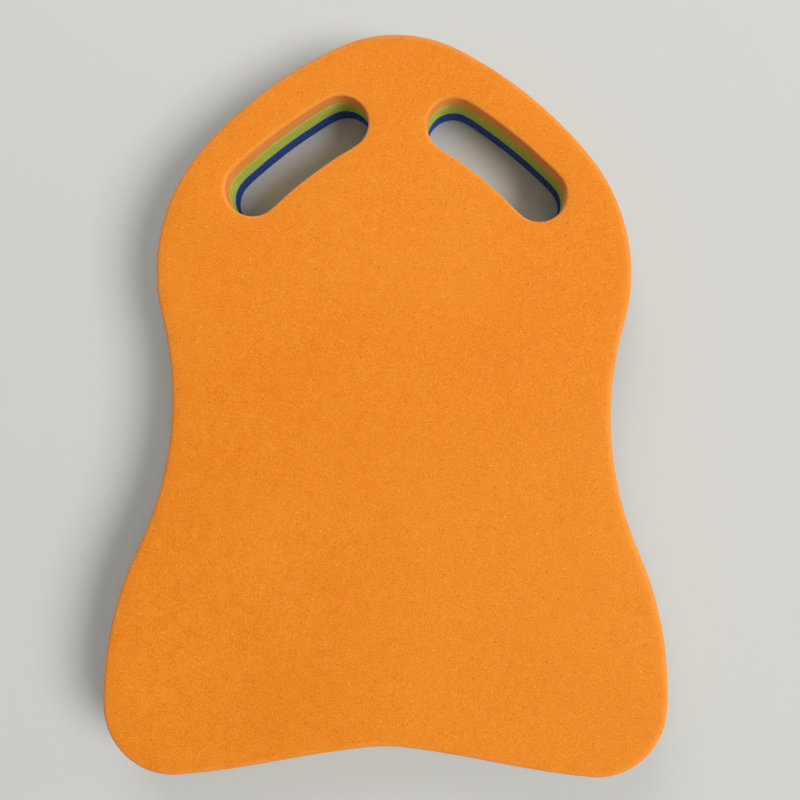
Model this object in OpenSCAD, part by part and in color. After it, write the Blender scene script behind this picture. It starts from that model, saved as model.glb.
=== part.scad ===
// Kickboard float: three bonded foam sheets with two hand slots near the nose.
// Lies flat on its lower face. +Z is up, +Y points to the nose, X = 0 is the mirror plane.

/* [Board] */
// Length from the tail lobes to the tip of the nose
board_l = 400; // [370:1:480]
// Width across the tail, the widest place
board_w = 300; // [280:1:360]
// Thickness of each of the three foam sheets
sheet_t = 12.5; // [9:0.5:16]
// Thickness of the glue film between two sheets
film_t = 0.3; // [0.2:0.05:0.6]
// Rounding of the outer edge, above and below
edge_r = 4; // [2:0.5:6]

/* [Nose and shoulders] */
// Radius of the nose tip
nose_r = 75; // [56:1:80]
// Radius of the long curve from the nose to the shoulder
side_r = 225; // [190:1:280]
// Width across the shoulders
shoulder_w = 258; // [244:1:276]
// Radius of the shoulder
shoulder_r = 102; // [96:1:112]
// Distance from the nose tip back to the widest place of the shoulders
shoulder_back = 130; // [122:1:136]

/* [Waist and tail] */
// Radius of the hollow waist
waist_r = 182; // [150:1:260]
// Radius of the hip, where the tail is widest
hip_r = 180; // [130:1:230]
// Distance from the tail lobes forward to the widest place of the hips
hip_forward = 45; // [38:1:58]
// Radius of the tail corners
corner_r = 38; // [28:1:44]
// Depth of the hollow in the tail edge
tail_hollow = 15.5; // [8:0.5:22]
// Radius of the hollow in the tail edge
tail_r = 100; // [90:1:190]

/* [Hand slots] */
// Length of a slot from end to end, along its bend
slot_l = 90; // [76:1:110]
// Width of a slot
slot_w = 30; // [24:0.5:38]
// Radius of the bend along the middle of a slot
slot_bend_r = 250; // [140:1:400]
// Slope of a slot, down and outward from level
slot_angle = 38.5; // [30:0.5:46]
// Distance from the mirror plane out to the middle of a slot
slot_out = 55.5; // [50:0.5:64]
// Distance from the nose tip back to the middle of a slot
slot_back = 67.5; // [60:0.5:76]
// Rounding of the slot edges, above and below
slot_edge_r = 2; // [0.5:0.5:4]

/* [Hidden] */

// How far a chord may stray from its arc, and the rings in a rounded edge
chord_error = 0.1;
edge_rings = 5;
// Points closer than this are one point
twin_gap = 0.01;
// How far a slot cutter stands past both faces
cut_past = 1;

film_low_z = sheet_t;
core_z = film_low_z + film_t;
film_high_z = core_z + sheet_t;
top_z = film_high_z + film_t;

function dir(a) = [cos(a), sin(a)];
// Direction from c to p
function aim(c, p) = atan2(p[1] - c[1], p[0] - c[0]);
// The point da from a and db from b, on the left of the line from a to b (side 1) or its right (-1)
function meet(a, da, b, db, side) =
    let (d = norm(b - a), u = (b - a) / d, along = (d * d + da * da - db * db) / (2 * d))
    a + u * along + side * [-u[1], u[0]] * sqrt(da * da - along * along);

// Centres of the outline's arcs on the right half, each touching the next
nose_c = [0, board_l / 2 - nose_r];
shoulder_c = [shoulder_w / 2 - shoulder_r, board_l / 2 - shoulder_back];
side_c = meet(nose_c, side_r - nose_r, shoulder_c, side_r - shoulder_r, -1);
hip_c = [board_w / 2 - hip_r, hip_forward - board_l / 2];
waist_c = meet(shoulder_c, waist_r + shoulder_r, hip_c, waist_r + hip_r, 1);
corner_y = corner_r - board_l / 2;
corner_c = [hip_c[0] + sqrt(pow(hip_r - corner_r, 2) - pow(corner_y - hip_c[1], 2)), corner_y];
tail_c = [0, tail_hollow - board_l / 2 - tail_r];

// Angles at which one arc hands over to the next; the tail edge runs straight from corner to hollow
nose_end = aim(side_c, nose_c);
side_end = aim(side_c, shoulder_c);
shoulder_end = aim(shoulder_c, waist_c);
hip_start = aim(hip_c, waist_c);
hip_end = aim(hip_c, corner_c);
tail_start = aim(tail_c, corner_c) + acos((tail_r + corner_r) / norm(corner_c - tail_c));

// Arcs in clockwise order: centre, radius, first angle, last angle, and 1 with foam inside, -1 outside
outline_arcs = [
    [nose_c, nose_r, 90, nose_end, 1],
    [side_c, side_r, nose_end, side_end, 1],
    [shoulder_c, shoulder_r, side_end, shoulder_end, 1],
    [waist_c, waist_r, shoulder_end + 180, hip_start + 180, -1],
    [hip_c, hip_r, hip_start, hip_end, 1],
    [corner_c, corner_r, hip_end, tail_start - 180, 1],
    [tail_c, tail_r, tail_start, 90, -1],
];

// A slot is a bent capsule on the right half, sloping down and outward
slot_r = slot_w / 2;
slot_mid = [slot_out, board_l / 2 - slot_back];
bend_mid = 90 - slot_angle;
bend_half = (slot_l - slot_w) / 2 / slot_bend_r * 180 / PI;
bend_in = bend_mid + bend_half;
bend_out = bend_mid - bend_half;
bend_c = slot_mid - slot_bend_r * dir(bend_mid);
slot_arcs = [
    [bend_c, slot_bend_r + slot_r, bend_in, bend_out, -1],
    [bend_c + slot_bend_r * dir(bend_out), slot_r, bend_out, bend_out - 180, -1],
    [bend_c, slot_bend_r - slot_r, bend_out, bend_in, 1],
    [bend_c + slot_bend_r * dir(bend_in), slot_r, bend_in + 180, bend_in, -1],
];

// Points along an arc, moved into the foam by inset
function arc_points(arc, inset) =
    let (step = 2 * acos(1 - chord_error / arc[1]), n = ceil(abs(arc[3] - arc[2]) / step))
    [for (i = [0:n]) arc[0] + (arc[1] - arc[4] * inset) * dir(arc[2] + (arc[3] - arc[2]) * i / n)];
// Drops the second of two points that fall together where arcs meet
function without_twins(points) =
    [for (i = [0:len(points) - 1]) if (i == 0 || norm(points[i] - points[i - 1]) > twin_gap) points[i]];
function chain_points(arcs, inset) = without_twins([for (arc = arcs) each arc_points(arc, inset)]);

// The whole outline: the right half down to the tail, then the left half back up
function outline(inset) =
    let (right = chain_points(outline_arcs, inset), n = len(right))
    concat(right, [for (i = [n - 2:-1:1]) [-right[i][0], right[i][1]]]);
// The right slot, without the last point, which closes on the first
function slot(inset) =
    let (points = chain_points(slot_arcs, inset))
    [for (i = [0:len(points) - 2]) points[i]];

// Steps of a rounded edge of radius r below height t: how far in, and how high
function edge_steps(t, r) =
    [for (i = [0:edge_rings]) let (a = 90 * i / edge_rings) [r * (1 - cos(a)), t - r + r * sin(a)]];

// A closed solid over loops of equal length, each at its own height
module loft(loops, heights) {
    n = len(loops[0]);
    top = len(loops) - 1;
    polyhedron(
        points = [for (k = [0:top]) for (p = loops[k]) [p[0], p[1], heights[k]]],
        faces = concat(
            [[for (i = [n - 1:-1:0]) i], [for (i = [0:n - 1]) top * n + i]],
            [for (k = [0:top - 1]) for (i = [0:n - 1])
                let (j = (i + 1) % n) [k * n + i, k * n + j, (k + 1) * n + j, (k + 1) * n + i]]
        )
    );
}

// A layer with square edges
module plain_layer(t) {
    linear_extrude(t)
        difference() {
            polygon(outline(0));
            polygon(slot(0));
            mirror([1, 0])
                polygon(slot(0));
        }
}

// A layer with its upper edges rounded, round the board and round both slots
module rounded_layer(t) {
    outer = edge_steps(t, edge_r);
    inner = edge_steps(t, slot_edge_r);
    difference() {
        loft([outline(0), for (s = outer) outline(s[0])], [0, for (s = outer) s[1]]);
        for (side = [0, 1])
            mirror([side, 0, 0])
                loft(
                    [slot(0), for (s = inner) slot(s[0]), slot(slot_edge_r)],
                    [-cut_past, for (s = inner) s[1], t + cut_past]
                );
    }
}

module bottom_sheet() {
    color("#1f4296")
        translate([0, 0, sheet_t])
            mirror([0, 0, 1])
                rounded_layer(sheet_t);
}

module lower_glue_film() {
    color("#d9dcc8")
        translate([0, 0, film_low_z])
            plain_layer(film_t);
}

module core_sheet() {
    color("#96bb35")
        translate([0, 0, core_z])
            plain_layer(sheet_t);
}

module upper_glue_film() {
    color("#d9dcc8")
        translate([0, 0, film_high_z])
            plain_layer(film_t);
}

module top_sheet() {
    color("#ee8f2c")
        translate([0, 0, top_z])
            rounded_layer(sheet_t);
}

bottom_sheet();
lower_glue_film();
core_sheet();
upper_glue_film();
top_sheet();
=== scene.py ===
import math

import bmesh
import bpy
import numpy as np
from mathutils import Matrix, Vector
from mathutils.geometry import delaunay_2d_cdt


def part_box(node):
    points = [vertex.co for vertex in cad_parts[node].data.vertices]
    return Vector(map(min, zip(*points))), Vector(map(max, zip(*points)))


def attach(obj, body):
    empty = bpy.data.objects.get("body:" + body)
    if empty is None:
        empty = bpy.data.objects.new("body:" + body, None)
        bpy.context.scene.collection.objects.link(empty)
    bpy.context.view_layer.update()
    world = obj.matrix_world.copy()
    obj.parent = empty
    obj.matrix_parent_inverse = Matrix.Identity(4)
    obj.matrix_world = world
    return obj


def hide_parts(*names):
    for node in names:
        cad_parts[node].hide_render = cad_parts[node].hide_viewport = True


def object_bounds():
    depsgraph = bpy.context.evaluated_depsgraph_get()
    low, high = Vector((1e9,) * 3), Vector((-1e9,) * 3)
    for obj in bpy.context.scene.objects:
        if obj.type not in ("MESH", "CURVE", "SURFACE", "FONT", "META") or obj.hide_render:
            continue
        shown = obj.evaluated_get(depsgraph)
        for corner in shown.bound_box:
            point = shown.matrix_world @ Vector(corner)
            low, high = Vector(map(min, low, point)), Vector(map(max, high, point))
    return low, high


# Kickboard float: three bonded EVA foam sheets, one outline, two hand slots.
# Lengths are metres; mm below turns the sizes a maker would say into metres.

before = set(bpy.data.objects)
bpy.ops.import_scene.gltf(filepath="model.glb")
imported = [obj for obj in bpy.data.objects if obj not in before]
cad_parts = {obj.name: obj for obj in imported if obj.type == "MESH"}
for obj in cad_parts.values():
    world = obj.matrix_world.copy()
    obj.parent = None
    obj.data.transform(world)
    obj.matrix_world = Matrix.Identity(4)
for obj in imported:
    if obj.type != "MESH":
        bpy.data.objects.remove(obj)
cadLow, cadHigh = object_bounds()
mm = 0.001
sameSpot = 0.001 * mm  # vertices closer than this are one
straightUp = 0.9999  # a face whose normal has more than this along Z is level

sheets = {"top": "top_sheet", "core": "core_sheet", "bottom": "bottom_sheet"}
films = {"upper": "upper_glue_film", "lower": "lower_glue_film"}


cameraLook = {
    "place": (25 * mm, -1.5 * mm),  # nearly over the middle of the board
    "aboveFace": 432 * mm,
    "lookAt": (33.2 * mm, 16.2 * mm),  # on the orange face
    "turn": 0.86,  # degrees, the nose to the right
    "lens": 36.2,
    "sensor": 36,
    "shift": (-0.0687, -0.0383),  # the frame's middle lies a little off the lens axis
}


def addCamera(look):
    lens = bpy.data.cameras.new("camera")
    lens.lens = look["lens"]
    lens.sensor_width = look["sensor"]
    lens.clip_start = 10 * mm
    lens.shift_x, lens.shift_y = look["shift"]
    camera = bpy.data.objects.new("camera", lens)
    bpy.context.scene.collection.objects.link(camera)
    place = Vector((*look["place"], cadHigh.z + look["aboveFace"]))
    back = (place - Vector((*look["lookAt"], cadHigh.z))).normalized()
    right = Vector((0, 1, 0)).cross(back).normalized()
    upright = Matrix((right, back.cross(right), back)).transposed().to_4x4()
    turn = Matrix.Rotation(math.radians(look["turn"]), 4, "Z")
    camera.matrix_world = Matrix.Translation(place) @ upright @ turn
    bpy.context.scene.camera = camera


addCamera(cameraLook)
print("camera set")


def linear(hexColour):
    # sRGB hex to the linear colour that Blender works in
    shares = [int(hexColour[i:i + 2], 16) / 255 for i in (0, 2, 4)]
    curve = [s / 12.92 if s <= 0.04045 else ((s + 0.055) / 1.055) ** 2.4 for s in shares]
    return (*curve, 1)


def addNode(tree, kind, settings=None, links=None):
    # settings: a socket by its Name or number, or one of the node's own options
    node = tree.nodes.new(kind)
    options = settings or {}
    for name, value in options.items():
        if isinstance(name, str) and name[0].islower():
            setattr(node, name, value)
    for name, value in options.items():
        if isinstance(name, int) or name[0].isupper():
            node.inputs[name].default_value = value
    for name, source in (links or {}).items():
        tree.links.new(source, node.inputs[name])
    return node


def mathNode(tree, operation, *terms):
    # each term is a number or another node's output
    settings = {"operation": operation}
    links = {}
    for i, term in enumerate(terms):
        (settings if isinstance(term, (int, float)) else links)[i] = term
    return addNode(tree, "ShaderNodeMath", settings, links).outputs[0]


def addInputs(tree, inputs):
    # named inputs of a geometry tree, and the group nodes that carry them
    tree.interface.new_socket("Geometry", in_out="INPUT", socket_type="NodeSocketGeometry")
    tree.interface.new_socket("Geometry", in_out="OUTPUT", socket_type="NodeSocketGeometry")
    for name, kind in inputs.items():
        tree.interface.new_socket(name, in_out="INPUT", socket_type=kind)
    return tree.nodes.new("NodeGroupInput"), tree.nodes.new("NodeGroupOutput")


def runTree(piece, tree, values):
    # applies a geometry tree with these values, and leaves the piece a plain mesh
    modifier = piece.modifiers.new(tree.name, "NODES")
    modifier.node_group = tree
    for item in tree.interface.items_tree:
        if item.in_out == "INPUT" and item.name in values:
            modifier[item.identifier] = values[item.name]
    bpy.context.view_layer.update()
    ready = piece.evaluated_get(bpy.context.evaluated_depsgraph_get())
    mesh = bpy.data.meshes.new_from_object(ready)
    piece.modifiers.remove(modifier)
    piece.data = mesh


foamLooks = {
    "top": {
        "name": "EVA foam, orange, moulded skin",
        "skin": ("e27812", "f89626"),  # hollow and crest of the pebbled skin
        "cut": ("e9862a", "ffad50"),  # closed cells opened by the cutter
        # pale rim colour: partly wear, partly a painted sheen highlight on the rounded rims
        "wornAndSheen": "f9ab5e",
        "fleck": "ffb048",
        "speck": "b8601a",
    },
    "core": {
        "name": "EVA foam, lime green, cut cells",
        "skin": ("92ab26", "b4ca40"),
        "cut": ("8fa82a", "cedb60"),
        # pale rim colour: partly wear, partly a painted sheen highlight on the rounded rims
        "wornAndSheen": "c3d06c",
        "fleck": "d2dc74",
        "speck": "66781c",
    },
    "bottom": {
        "name": "EVA foam, blue, moulded skin",
        "skin": ("15388c", "2050ac"),
        "cut": ("10327c", "1f50a8"),
        # pale rim colour: partly wear, partly a painted sheen highlight on the rounded rims
        "wornAndSheen": "4c74c0",
        "fleck": "4f7ccc",
        "speck": "10285f",
    },
}
foamGrain = {
    "pebble": 0.6 * mm,  # width of one bump of the skin
    "stretch": 0.7,  # bumps lie a little longer along the board, as the sheet was rolled
    "mottle": 4 * mm,
    "drift": 90 * mm,  # slow change of colour over a sheet
    "pebbleTone": 2.4,  # how strongly each of the three moves the colour
    "mottleTone": 0.5,
    "driftTone": 0.5,
    "cell": 0.8 * mm,  # cut cells are about 0.2 mm, drawn coarser so that they show
    "cellTone": (0.9, 0.1),  # pale at the cell walls: slope and start
    # patches of rim paling: partly wear, partly a painted sheen highlight
    "wearSheenPatch": 14 * mm,
    "wearSheenTone": (1.2, -0.35),
    "wearSheenMost": 0.2,
    "speckGap": 9 * mm,
    "speckSize": 0.05,  # radius of a speck as a share of that gap
    "speckShare": 0.35,  # how many of the possible specks there are
    "fleckShare": 0.25,  # and how many of the pale flecks
    "speckTint": 0.6,
    "skinRelief": 0.08 * mm,
    "cutRelief": 0.16 * mm,
    "skinRough": 0.6,
    "cutRough": 0.14,  # how much rougher the cut cells are
    "mottleRough": 0.12,
}


def evaFoam(look, grain):
    # Closed-cell EVA: a soft matte plastic, bright and even, with a fine pebbled skin where the
    # sheet was moulded, and duller open cells where it was cut. It pales a little at a low angle.
    material = bpy.data.materials.new(look["name"])
    material.use_nodes = True
    tree = material.node_tree
    shader = tree.nodes["Principled BSDF"]
    place = addNode(tree, "ShaderNodeTexCoord").outputs["Object"]
    rolled = addNode(tree, "ShaderNodeMapping", {"Scale": (1, grain["stretch"], 1)}, {"Vector": place})
    rolled = rolled.outputs["Vector"]
    cutShare = addNode(tree, "ShaderNodeAttribute", {"attribute_name": "wall"}).outputs["Fac"]
    rimShare = addNode(tree, "ShaderNodeAttribute", {"attribute_name": "rim"}).outputs["Fac"]

    def noiseAt(size, detail, vector):
        settings = {"Scale": 1 / size, "Detail": detail, "Roughness": 0.55}
        return addNode(tree, "ShaderNodeTexNoise", settings, {"Vector": vector}).outputs["Fac"]

    def sums(operation, *terms):
        return mathNode(tree, operation, *terms)

    def mixed(share, low, high):
        settings = {"data_type": "RGBA"}
        links = {}
        for i, term in ((0, share), (6, low), (7, high)):
            (links if isinstance(term, bpy.types.NodeSocket) else settings)[i] = term
        return addNode(tree, "ShaderNodeMix", settings, links).outputs[2]

    pebble = noiseAt(grain["pebble"], 1.5, rolled)
    mottle = noiseAt(grain["mottle"], 2, rolled)
    drift = noiseAt(grain["drift"], 1, place)
    cells = addNode(tree, "ShaderNodeTexVoronoi", {"Scale": 1 / grain["cell"]}, {"Vector": place})
    cellDepth = cells.outputs["Distance"]

    # skin: pebbles, mottling and drift move the colour both ways from the middle of its two tones
    tone = sums("MULTIPLY_ADD", pebble, grain["pebbleTone"], 0.5 - grain["pebbleTone"] / 2)
    for noise, strength in ((mottle, grain["mottleTone"]), (drift, grain["driftTone"])):
        tone = sums("MULTIPLY_ADD", noise, strength, sums("SUBTRACT", tone, strength / 2))
    clampTone = addNode(tree, "ShaderNodeClamp", {}, {"Value": tone}).outputs[0]
    skin = mixed(clampTone, *map(linear, look["skin"]))
    cut = mixed(sums("MULTIPLY_ADD", cellDepth, *grain["cellTone"]), *map(linear, look["cut"]))
    colour = mixed(cutShare, skin, cut)

    # the rounded rims pale in patches: partly wear from handling, partly a painted sheen highlight
    patches = sums("MULTIPLY_ADD", noiseAt(grain["wearSheenPatch"], 3, place), *grain["wearSheenTone"])
    wearAndSheen = sums("MULTIPLY", rimShare, patches)
    wearAndSheen = addNode(tree, "ShaderNodeClamp", {"Max": grain["wearSheenMost"]}, {"Value": wearAndSheen}).outputs[0]
    colour = mixed(wearAndSheen, colour, linear(look["wornAndSheen"]))

    # a few dark specks and pale flecks on the skin: only some cells of a wide pattern hold one
    settings = {"voronoi_dimensions": "2D", "Scale": 1 / grain["speckGap"]}
    spots = addNode(tree, "ShaderNodeTexVoronoi", settings, {"Vector": place})
    picked = addNode(tree, "ShaderNodeSeparateColor", {}, {"Color": spots.outputs["Color"]}).outputs
    onSkin = sums("SUBTRACT", 1, cutShare)
    near = sums("LESS_THAN", spots.outputs["Distance"], grain["speckSize"])
    near = sums("MULTIPLY", near, onSkin)
    for i, kind in enumerate(("speck", "fleck")):
        found = sums("MULTIPLY", near, sums("LESS_THAN", picked[i], grain[kind + "Share"]))
        colour = mixed(sums("MULTIPLY", found, grain["speckTint"]), colour, linear(look[kind]))

    skinHeight = sums("MULTIPLY", pebble, grain["skinRelief"])
    cutHeight = sums("MULTIPLY", cellDepth, grain["cutRelief"])
    heights = addNode(tree, "ShaderNodeMix", {}, {0: cutShare, 2: skinHeight, 3: cutHeight}).outputs[0]
    bump = addNode(tree, "ShaderNodeBump", {"Strength": 1, "Distance": 1}, {"Height": heights})
    rough = sums("MULTIPLY_ADD", cutShare, grain["cutRough"], grain["skinRough"])
    rough = sums("MULTIPLY_ADD", mottle, grain["mottleRough"], rough)

    tree.links.new(colour, shader.inputs["Base Color"])
    tree.links.new(rough, shader.inputs["Roughness"])
    tree.links.new(bump.outputs["Normal"], shader.inputs["Normal"])
    shader.inputs["IOR"].default_value = 1.48
    shader.inputs["Specular IOR Level"].default_value = 0.2
    shader.inputs["Sheen Weight"].default_value = 0.08
    shader.inputs["Sheen Roughness"].default_value = 0.35
    return material


glueLook = {
    "name": "Contact cement, dried",
    "thin": "a8aa78",
    "thick": "c2c190",
    "patch": 5 * mm,
    "rough": (0.32, 0.5),
}


def contactCement(look):
    # Dried neoprene cement: a thin, honey-pale skin, smoother than the foam beside it, so it
    # shows as a fine light line with small beads that catch the light.
    material = bpy.data.materials.new(look["name"])
    material.use_nodes = True
    tree = material.node_tree
    shader = tree.nodes["Principled BSDF"]
    place = addNode(tree, "ShaderNodeTexCoord").outputs["Object"]
    settings = {"Scale": 1 / look["patch"], "Detail": 3}
    patch = addNode(tree, "ShaderNodeTexNoise", settings, {"Vector": place}).outputs["Fac"]
    settings = {"data_type": "RGBA", 6: linear(look["thin"]), 7: linear(look["thick"])}
    tone = addNode(tree, "ShaderNodeMix", settings, {0: patch}).outputs[2]
    settings = {"To Min": look["rough"][0], "To Max": look["rough"][1]}
    rough = addNode(tree, "ShaderNodeMapRange", settings, {"Value": patch}).outputs[0]
    tree.links.new(tone, shader.inputs["Base Color"])
    tree.links.new(rough, shader.inputs["Roughness"])
    shader.inputs["IOR"].default_value = 1.52
    return material


outlineLook = {
    "spacing": (1.6 * mm, 1.0 * mm),  # between points: round the board, round a slot
    "splits": 16,  # steps along each chord while the curve is drawn through its ends
    "grid": 3 * mm,  # between points of an open face
    "gridClear": 0.7,  # how near one may come to a loop, as a share of that
    "gridParts": 40,  # measured in so many parts, so that the table of distances stays small
    "fillError": 1e-7,  # points closer than this are one to the triangulation
}


def readLoops(node, atTop):
    # closed loops round one flat face of a CAD sheet: the outline first, then the two slots
    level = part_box(node)[1 if atTop else 0].z
    sheet = bmesh.new()
    sheet.from_mesh(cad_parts[node].data)
    bmesh.ops.remove_doubles(sheet, verts=sheet.verts, dist=sameSpot)
    beside = {}
    for edge in sheet.edges:
        flat = [abs(face.normal.z) > straightUp for face in edge.link_faces]
        onLevel = all(abs(vert.co.z - level) < sameSpot for vert in edge.verts)
        if onLevel and sorted(flat) == [False, True]:
            first, second = edge.verts
            beside.setdefault(first, []).append(second)
            beside.setdefault(second, []).append(first)
    loops = []
    while beside:
        here = next(iter(beside))
        loop = []
        while here in beside:
            loop.append(here.co.xy[:])
            ahead = [vert for vert in beside.pop(here) if vert in beside]
            here = ahead[0] if ahead else here
        loops.append(np.array(loop))
    sheet.free()
    loops.sort(key=lambda loop: -np.ptp(loop[:, 1]))
    return loops


def area(loop):
    ahead = np.roll(loop, -1, axis=0)
    return (loop[:, 0] * ahead[:, 1] - ahead[:, 0] * loop[:, 1]).sum() / 2


def smoothLoop(loop, spacing, splits):
    # a smooth closed curve through the loop's points, then even points along it
    back = loop - np.roll(loop, 1, axis=0)
    ahead = np.roll(loop, -1, axis=0) - loop
    backLength = np.linalg.norm(back, axis=1)[:, None]
    aheadLength = np.linalg.norm(ahead, axis=1)[:, None]
    # tangent of the circle through a point and its two neighbours
    tangent = back / backLength ** 2 + ahead / aheadLength ** 2
    tangent /= np.linalg.norm(tangent, axis=1)[:, None]
    start, end = loop, np.roll(loop, -1, axis=0)
    out, arrive = tangent * aheadLength, np.roll(tangent, -1, axis=0) * aheadLength
    t = (np.arange(splits) / splits)[None, :, None]
    curve = (2 * t ** 3 - 3 * t ** 2 + 1) * start[:, None] + (t ** 3 - 2 * t ** 2 + t) * out[:, None]
    curve += (3 * t ** 2 - 2 * t ** 3) * end[:, None] + (t ** 3 - t ** 2) * arrive[:, None]
    curve = curve.reshape(-1, 2)
    closed = np.vstack([curve, curve[:1]])
    along = np.concatenate([[0], np.cumsum(np.linalg.norm(np.diff(closed, axis=0), axis=1))])
    count = round(along[-1] / spacing)
    at = np.arange(count) * along[-1] / count
    return np.stack([np.interp(at, along, closed[:, k]) for k in (0, 1)], axis=1)


def intoFoam(loop):
    # unit vectors to the left of travel, which is the foam's side on every loop
    travel = np.roll(loop, -1, axis=0) - np.roll(loop, 1, axis=0)
    left = np.stack([-travel[:, 1], travel[:, 0]], axis=1)
    return left / np.linalg.norm(left, axis=1)[:, None]


def drawOutline(look):
    # outline anticlockwise, slots clockwise, so the foam is always on the left
    loops = []
    for i, loop in enumerate(readLoops(sheets["core"], False)):
        turned = area(loop) > 0
        loop = loop if turned == (i == 0) else loop[::-1]
        loops.append(smoothLoop(loop, look["spacing"][min(i, 1)], look["splits"]))
    return loops


def edgeRadii(node, faceUp):
    # how far a sheet's open face stops short of its walls, at the outline and at a slot
    face, walls = readLoops(node, faceUp), readLoops(node, not faceUp)
    insets = [abs(np.ptp(a[:, 0]) - np.ptp(b[:, 0])) / 2 for a, b in zip(face, walls)]
    return insets[0], insets[1]


outlineLoops = drawOutline(outlineLook)
print("outline drawn:", [len(loop) for loop in outlineLoops], "points")


sheetLook = {
    "faceRings": (4.6 * mm, 3.2 * mm, 2.1 * mm, 1.3 * mm, 0.6 * mm),  # in from a rounded rim
    "rimSteps": 8,
    "wallStep": 1.1 * mm,
    "glueRings": (1.6 * mm, 1.1 * mm, 0.7 * mm, 0.4 * mm, 0.2 * mm, 0),  # away from a glue line
    "pillow": 0.32 * mm,  # how far an open face sinks towards its rims
    "pillowReach": 2.1 * mm,
    "pinch": 0.28 * mm,  # how far a wall draws in at a glue line
    "pinchReach": 0.55 * mm,
    "waveHeight": 0.3 * mm,
    "waveLength": 75 * mm,
    "wander": 0.25 * mm,  # the cutter's drift along the edge
    "wanderLength": 45 * mm,
    "seed": 3.0,
    "crease": 50,  # degrees, edges bent more than this are drawn sharp
}


def section(look, thick, radius, hasFace):
    # one section of a sheet from face to glue line: (inset, drop, wall share, rim share)
    def pinch(gap):
        return look["pinch"] * math.exp(-gap / look["pinchReach"])

    def pillow(gap):
        return look["pillow"] * math.exp(-gap / look["pillowReach"])

    glue = [(pinch(gap), gap) for gap in look["glueRings"]]
    reach = look["glueRings"][0]
    rings = []
    if hasFace:
        rings += [(radius + gap, pillow(gap), 0, 0) for gap in look["faceRings"]]
        for i in range(look["rimSteps"] + 1):
            a = math.radians(90 * i / look["rimSteps"])
            inset, drop = radius * (1 - math.sin(a)), radius * (1 - math.cos(a))
            drop += look["pillow"] * (1 - drop / radius)
            rings.append((inset, drop, 1 - math.cos(a), math.sin(2 * a)))
        first = radius
    else:
        rings += [(inset, gap, 1, 0) for inset, gap in reversed(glue)]
        first = reach
    steps = max(2, round((thick - reach - first) / look["wallStep"]))
    drops = np.linspace(first, thick - reach, steps + 1)[1:-1]
    rings += [(pinch(thick - drop), drop, 1, 0) for drop in drops]
    rings += [(inset, thick - gap, 1, 0) for inset, gap in glue]
    return rings


def inside(points, loop):
    # which points lie inside a closed loop
    x, y = points[:, 0:1], points[:, 1:2]
    ahead = np.roll(loop, -1, axis=0)
    crosses = (loop[:, 1] > y) != (ahead[:, 1] > y)
    with np.errstate(divide="ignore", invalid="ignore"):
        at = loop[:, 0] + (y - loop[:, 1]) * (ahead[:, 0] - loop[:, 0]) / (ahead[:, 1] - loop[:, 1])
    return (crosses & (x < at)).sum(axis=1) % 2 == 1


def facePoints(loops, look):
    # a staggered grid of points over the face, clear of its loops
    gap = look["grid"]
    low, high = loops[0].min(axis=0), loops[0].max(axis=0)
    across = np.arange(low[0], high[0], gap)
    rows = np.arange(low[1], high[1], gap * math.sqrt(3) / 2)
    grid = np.array([(x + gap / 2 * (i % 2), y) for i, y in enumerate(rows) for x in across])
    keep = inside(grid, loops[0])
    for loop in loops[1:]:
        keep &= ~inside(grid, loop)
    grid = grid[keep]
    border = np.vstack(loops)
    nearest = np.concatenate([
        np.linalg.norm(part[:, None] - border[None], axis=2).min(axis=1)
        for part in np.array_split(grid, look["gridParts"])
    ])
    return grid[nearest > gap * look["gridClear"]]


def fillFace(loops, extra, look):
    # triangles over the face between its loops, as numbers into the loops' points and then extra
    points = np.vstack([*loops, extra]) if len(extra) else np.vstack(loops)
    edges = []
    start = 0
    for loop in loops:
        count = len(loop)
        edges += [(start + i, start + (i + 1) % count) for i in range(count)]
        start += count
    corners = [Vector(point) for point in points]
    _, _, faces, origins, _, _ = delaunay_2d_cdt(corners, edges, [], 0, look["fillError"])
    numbers = np.array([origin[0] for origin in origins])
    triangles = numbers[np.array(faces)]
    middles = points[triangles].mean(axis=1)
    keep = inside(middles, loops[0])
    for loop in loops[1:]:
        keep &= ~inside(middles, loop)
    return triangles[keep]


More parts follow.
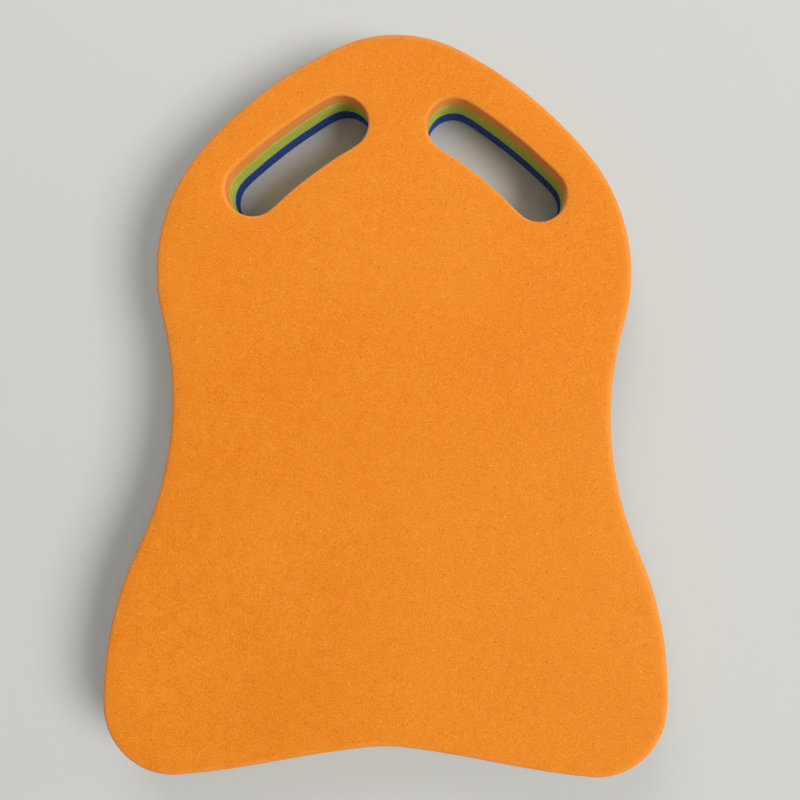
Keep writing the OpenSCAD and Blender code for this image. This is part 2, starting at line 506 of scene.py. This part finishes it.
def buildSheet(name, node, look, radii, faceUp):
    # a closed sheet: walls from the sections, flat fills at both ends
    low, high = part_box(node)
    thick = high.z - low.z
    places, walls, rims, ways, faces = [], [], [], [], []
    ends = {"face": [], "glue": []}
    hasFace = radii is not None
    for i, loop in enumerate(outlineLoops):
        rings = section(look, thick, radii[min(i, 1)] if hasFace else 0, hasFace)
        into = intoFoam(loop)
        count = len(loop)
        around = np.arange(count)
        for k, (inset, drop, wall, rim) in enumerate(rings):
            start = sum(len(p) for p in places)
            flat = loop + into * inset
            places.append(np.column_stack([flat, np.full(count, -drop)]))
            walls.append(np.full(count, float(wall)))
            rims.append(np.full(count, float(rim)))
            ways.append(np.column_stack([into, np.zeros(count)]))
            if k:
                upper, lower = start - count + around, start + around
                quads = [upper, lower, np.roll(lower, -1), np.roll(upper, -1)]
                faces += np.column_stack(quads).tolist()
            if k in (0, len(rings) - 1):
                ends["face" if k == 0 else "glue"].append((start, flat))
    total = sum(len(p) for p in places)
    for end in ends:
        loops = [flat for _, flat in ends[end]]
        numbers = np.concatenate([start + np.arange(len(flat)) for start, flat in ends[end]])
        gridded = end == "face" and hasFace
        extra = facePoints(loops, outlineLook) if gridded else np.zeros((0, 2))
        if len(extra):
            places.append(np.column_stack([extra, np.zeros(len(extra))]))
            walls.append(np.zeros(len(extra)))
            rims.append(np.zeros(len(extra)))
            ways.append(np.zeros((len(extra), 3)))
            numbers = np.concatenate([numbers, total + np.arange(len(extra))])
        faces += numbers[fillFace(loops, extra, outlineLook)].tolist()
    points = np.vstack(places)
    points[:, 2] = high.z + points[:, 2] if faceUp else low.z - points[:, 2]
    mesh = bpy.data.meshes.new(name)
    mesh.from_pydata(points.tolist(), [], faces)
    piece = bpy.data.objects.new(name, mesh)
    bpy.context.scene.collection.objects.link(piece)
    for title, values in (("wall", walls), ("rim", rims)):
        shares = mesh.attributes.new(title, "FLOAT", "POINT")
        shares.data.foreach_set("value", np.concatenate(values))
    way = mesh.attributes.new("way", "FLOAT_VECTOR", "POINT")
    way.data.foreach_set("vector", np.vstack(ways).ravel())
    shell = bmesh.new()
    shell.from_mesh(mesh)
    bmesh.ops.recalc_face_normals(shell, faces=shell.faces)
    crease = math.radians(look["crease"])
    for edge in shell.edges:
        edge.smooth = len(edge.link_faces) == 2 and edge.calc_face_angle() < crease
    shell.to_mesh(mesh)
    shell.free()
    mesh.shade_smooth()
    return piece


def upward(tree, height):
    return addNode(tree, "ShaderNodeCombineXYZ", {}, {2: height}).outputs[0]


def shifted(tree, geometry, offset):
    links = {"Geometry": geometry, "Offset": offset}
    return addNode(tree, "GeometryNodeSetPosition", {}, links).outputs[0]


def closeTree(tree, geometry, material, end):
    # what every geometry tree ends with: plain geometry that carries its material
    solid = addNode(tree, "GeometryNodeRealizeInstances", {}, {0: geometry}).outputs[0]
    links = {"Geometry": solid, "Material": material}
    named = addNode(tree, "GeometryNodeSetMaterial", {}, links)
    tree.links.new(named.outputs[0], end.inputs[0])


def foamTree():
    # Geometry Nodes: slow waves on the open face and the cutter's wander along the walls
    tree = bpy.data.node_groups.new("foamWaves", "GeometryNodeTree")
    start, end = addInputs(tree, {
        "Wave Height": "NodeSocketFloat",
        "Wave Length": "NodeSocketFloat",
        "Wander": "NodeSocketFloat",
        "Wander Length": "NodeSocketFloat",
        "Seed": "NodeSocketFloat",
        "Foam": "NodeSocketMaterial",
    })

    def swing(length, height, crest):
        # noise from 0 to 1, less crest, times a height; crest 1 keeps it on one side of zero
        scale = mathNode(tree, "DIVIDE", 1.0, start.outputs[length])
        settings = {"noise_dimensions": "4D", "Detail": 1.0}
        links = {"Vector": flatPlace, "Scale": scale, "W": start.outputs["Seed"]}
        wave = addNode(tree, "ShaderNodeTexNoise", settings, links).outputs[0]
        return mathNode(tree, "MULTIPLY", mathNode(tree, "SUBTRACT", wave, crest), start.outputs[height])

    place = addNode(tree, "GeometryNodeInputPosition").outputs[0]
    settings = {"operation": "MULTIPLY", 1: (1, 1, 0)}
    flatPlace = addNode(tree, "ShaderNodeVectorMath", settings, {0: place}).outputs[0]
    settings = {"data_type": "FLOAT", "Name": "wall"}
    wall = addNode(tree, "GeometryNodeInputNamedAttribute", settings).outputs[0]
    settings = {"data_type": "FLOAT_VECTOR", "Name": "way"}
    way = addNode(tree, "GeometryNodeInputNamedAttribute", settings).outputs[0]
    wave = swing("Wave Length", "Wave Height", 1.0)
    lift = mathNode(tree, "MULTIPLY", wave, mathNode(tree, "SUBTRACT", 1.0, wall))
    drift = swing("Wander Length", "Wander", 0.5)
    sideways = addNode(tree, "ShaderNodeVectorMath", {"operation": "SCALE"}, {0: way, "Scale": drift})
    links = {0: upward(tree, lift), 1: sideways.outputs[0]}
    move = addNode(tree, "ShaderNodeVectorMath", {"operation": "ADD"}, links).outputs[0]
    closeTree(tree, shifted(tree, start.outputs["Geometry"], move), start.outputs["Foam"], end)
    return tree


waves = foamTree()
# a wave only sinks into the foam: down from the orange face, up from the blue one
waveWays = {"top": 1, "core": 0, "bottom": -1}
for key, slotName in (("top", "orange_foam"), ("core", "green_foam"), ("bottom", "blue_foam")):
    node = sheets[key]
    faceUp = key != "bottom"
    radii = None if key == "core" else edgeRadii(node, faceUp)
    piece = buildSheet(key + "Sheet", node, sheetLook, radii, faceUp)
    runTree(piece, waves, {
        "Wave Height": sheetLook["waveHeight"] * waveWays[key],
        "Wave Length": sheetLook["waveLength"],
        "Wander": sheetLook["wander"],
        "Wander Length": sheetLook["wanderLength"],
        "Seed": sheetLook["seed"],
        "Foam": evaFoam(foamLooks[key], foamGrain),
    })
    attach(piece, "root")
    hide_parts(node)
    print(piece.name, "built with", len(piece.data.polygons), "faces")


filmLook = {
    "inset": 0.36 * mm,  # the film stops just inside the foam's walls
    "bead": 0.15 * mm,  # radius of the line of glue pressed out at the joint
    "uneven": 0.2 * mm,
    "mean": 0.55,  # where the bead's swelling turns to thinning, between 0 and 1
    "patch": 7 * mm,
    "sides": 8,
}


def filmTree():
    # Geometry Nodes: a flat film filled between its loops, and a bead that follows them
    tree = bpy.data.node_groups.new("glueLine", "GeometryNodeTree")
    start, end = addInputs(tree, {
        "Height": "NodeSocketFloat",
        "Thickness": "NodeSocketFloat",
        "Bead Radius": "NodeSocketFloat",
        "Bead Sides": "NodeSocketInt",
        "Uneven": "NodeSocketFloat",
        "Mean": "NodeSocketFloat",
        "Patch": "NodeSocketFloat",
        "Seed": "NodeSocketFloat",
        "Glue": "NodeSocketMaterial",
    })
    loops = addNode(tree, "GeometryNodeMeshToCurve", {}, {0: start.outputs["Geometry"]}).outputs[0]
    # the fill always lies at z = 0, so it is lifted to the height of its loops
    fill = addNode(tree, "GeometryNodeFillCurve", {}, {0: loops}).outputs[0]
    fill = shifted(tree, fill, upward(tree, start.outputs["Height"]))
    raised = upward(tree, start.outputs["Thickness"])
    settings = {"mode": "FACES", "Individual": False}
    links = {"Mesh": fill, "Offset": raised}
    slab = addNode(tree, "GeometryNodeExtrudeMesh", settings, links).outputs[0]
    under = addNode(tree, "GeometryNodeFlipFaces", {}, {0: fill}).outputs[0]
    film = addNode(tree, "GeometryNodeJoinGeometry")
    tree.links.new(under, film.inputs[0])
    tree.links.new(slab, film.inputs[0])
    settings = {"Distance": sameSpot}
    film = addNode(tree, "GeometryNodeMergeByDistance", settings, {0: film.outputs[0]}).outputs[0]

    links = {"Resolution": start.outputs["Bead Sides"], "Radius": start.outputs["Bead Radius"]}
    ring = addNode(tree, "GeometryNodeCurvePrimitiveCircle", {}, links).outputs[0]
    bead = addNode(tree, "GeometryNodeCurveToMesh", {}, {0: loops, "Profile Curve": ring}).outputs[0]
    normal = addNode(tree, "GeometryNodeInputNormal").outputs[0]
    scale = mathNode(tree, "DIVIDE", 1.0, start.outputs["Patch"])
    settings = {"noise_dimensions": "4D", "Detail": 2.0}
    links = {"Scale": scale, "W": start.outputs["Seed"]}
    lumps = addNode(tree, "ShaderNodeTexNoise", settings, links).outputs[0]
    lumps = mathNode(tree, "SUBTRACT", lumps, start.outputs["Mean"])
    swell = mathNode(tree, "MULTIPLY", lumps, start.outputs["Uneven"])
    settings = {"operation": "SCALE"}
    push = addNode(tree, "ShaderNodeVectorMath", settings, {0: normal, "Scale": swell}).outputs[0]
    # the loops lie on the lower face of the film, and the bead on its middle
    settings = {"operation": "SCALE", "Scale": 0.5}
    half = addNode(tree, "ShaderNodeVectorMath", settings, {0: raised}).outputs[0]
    settings = {"operation": "ADD"}
    move = addNode(tree, "ShaderNodeVectorMath", settings, {0: push, 1: half}).outputs[0]
    both = addNode(tree, "GeometryNodeJoinGeometry")
    tree.links.new(shifted(tree, bead, move), both.inputs[0])
    tree.links.new(film, both.inputs[0])
    closeTree(tree, both.outputs[0], start.outputs["Glue"], end)
    return tree


def loopPiece(name, loops, height):
    # an object that holds only closed loops of edges at one height
    mesh = bpy.data.meshes.new(name)
    points, edges = [], []
    for loop in loops:
        start, count = len(points), len(loop)
        points += [(x, y, height) for x, y in loop]
        edges += [(start + i, start + (i + 1) % count) for i in range(count)]
    mesh.from_pydata(points, edges, [])
    piece = bpy.data.objects.new(name, mesh)
    bpy.context.scene.collection.objects.link(piece)
    return piece


glue = contactCement(glueLook)
glueLine = filmTree()
filmLoops = [loop + intoFoam(loop) * filmLook["inset"] for loop in outlineLoops]
for seed, (key, node) in enumerate(films.items()):
    low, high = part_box(node)
    piece = loopPiece(key + "GlueFilm", filmLoops, low.z)
    runTree(piece, glueLine, {
        "Height": low.z,
        "Thickness": high.z - low.z,
        "Bead Radius": filmLook["bead"],
        "Bead Sides": filmLook["sides"],
        "Uneven": filmLook["uneven"],
        "Mean": filmLook["mean"],
        "Patch": filmLook["patch"],
        "Seed": float(seed),
        "Glue": glue,
    })
    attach(piece, "root")
    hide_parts(node)
    print(piece.name, "built with", len(piece.data.polygons), "faces")


studio = {
    "floor": "d3d1cd",
    "floorRadius": 6,
    "floorSides": 96,
    "floorGap": 0.05 * mm,  # keeps the floor and the blue face apart
    "floorCloud": 3.0,  # per metre
    "floorRough": (0.75, 0.9),
    "world": "f0f2f5",
    "worldStrength": 0.34,
    "keyPlace": (3.5, -1.0, 3.85),
    "keySize": 2.7,
    "keyPower": 216,
    "fillPlace": (-0.3, 1.5, 1.2),
    "fillSize": 1.2,
    "fillPower": 11,
}


def addFloor(look):
    mesh = bpy.data.meshes.new("floor")
    radius, sides = look["floorRadius"], look["floorSides"]
    turns = [2 * math.pi * i / sides for i in range(sides)]
    rim = [(radius * math.cos(a), radius * math.sin(a), -look["floorGap"]) for a in turns]
    mesh.from_pydata(rim, [], [range(len(rim))])
    floor = bpy.data.objects.new("floor", mesh)
    bpy.context.scene.collection.objects.link(floor)
    # painted board: pale, matte, with a barely uneven sheen
    material = bpy.data.materials.new("Painted board, matte")
    material.use_nodes = True
    tree = material.node_tree
    shader = tree.nodes["Principled BSDF"]
    place = addNode(tree, "ShaderNodeTexCoord").outputs["Object"]
    settings = {"Scale": look["floorCloud"], "Detail": 4.0}
    cloud = addNode(tree, "ShaderNodeTexNoise", settings, {"Vector": place}).outputs["Fac"]
    settings = {"To Min": look["floorRough"][0], "To Max": look["floorRough"][1]}
    rough = addNode(tree, "ShaderNodeMapRange", settings, {"Value": cloud}).outputs[0]
    tree.links.new(rough, shader.inputs["Roughness"])
    shader.inputs["Base Color"].default_value = linear(look["floor"])
    shader.inputs["Specular IOR Level"].default_value = 0.2
    mesh.materials.append(material)


def addSoftLight(look, name):
    # a soft disc that faces the middle of the board
    place = look[name + "Place"]
    light = bpy.data.lights.new(name + "Light", "AREA")
    light.shape = "DISK"
    light.size = look[name + "Size"]
    light.energy = look[name + "Power"]
    lamp = bpy.data.objects.new(light.name, light)
    bpy.context.scene.collection.objects.link(lamp)
    turn = Vector(place).to_track_quat("Z", "Y").to_matrix().to_4x4()
    lamp.matrix_world = Matrix.Translation(place) @ turn


addFloor(studio)
addSoftLight(studio, "key")
addSoftLight(studio, "fill")
world = bpy.data.worlds.new("studio")
world.use_nodes = True
backdrop = world.node_tree.nodes["Background"]
backdrop.inputs["Color"].default_value = linear(studio["world"])
backdrop.inputs["Strength"].default_value = studio["worldStrength"]
bpy.context.scene.world = world
bpy.context.scene.view_settings.view_transform = "Standard"
print("studio set")
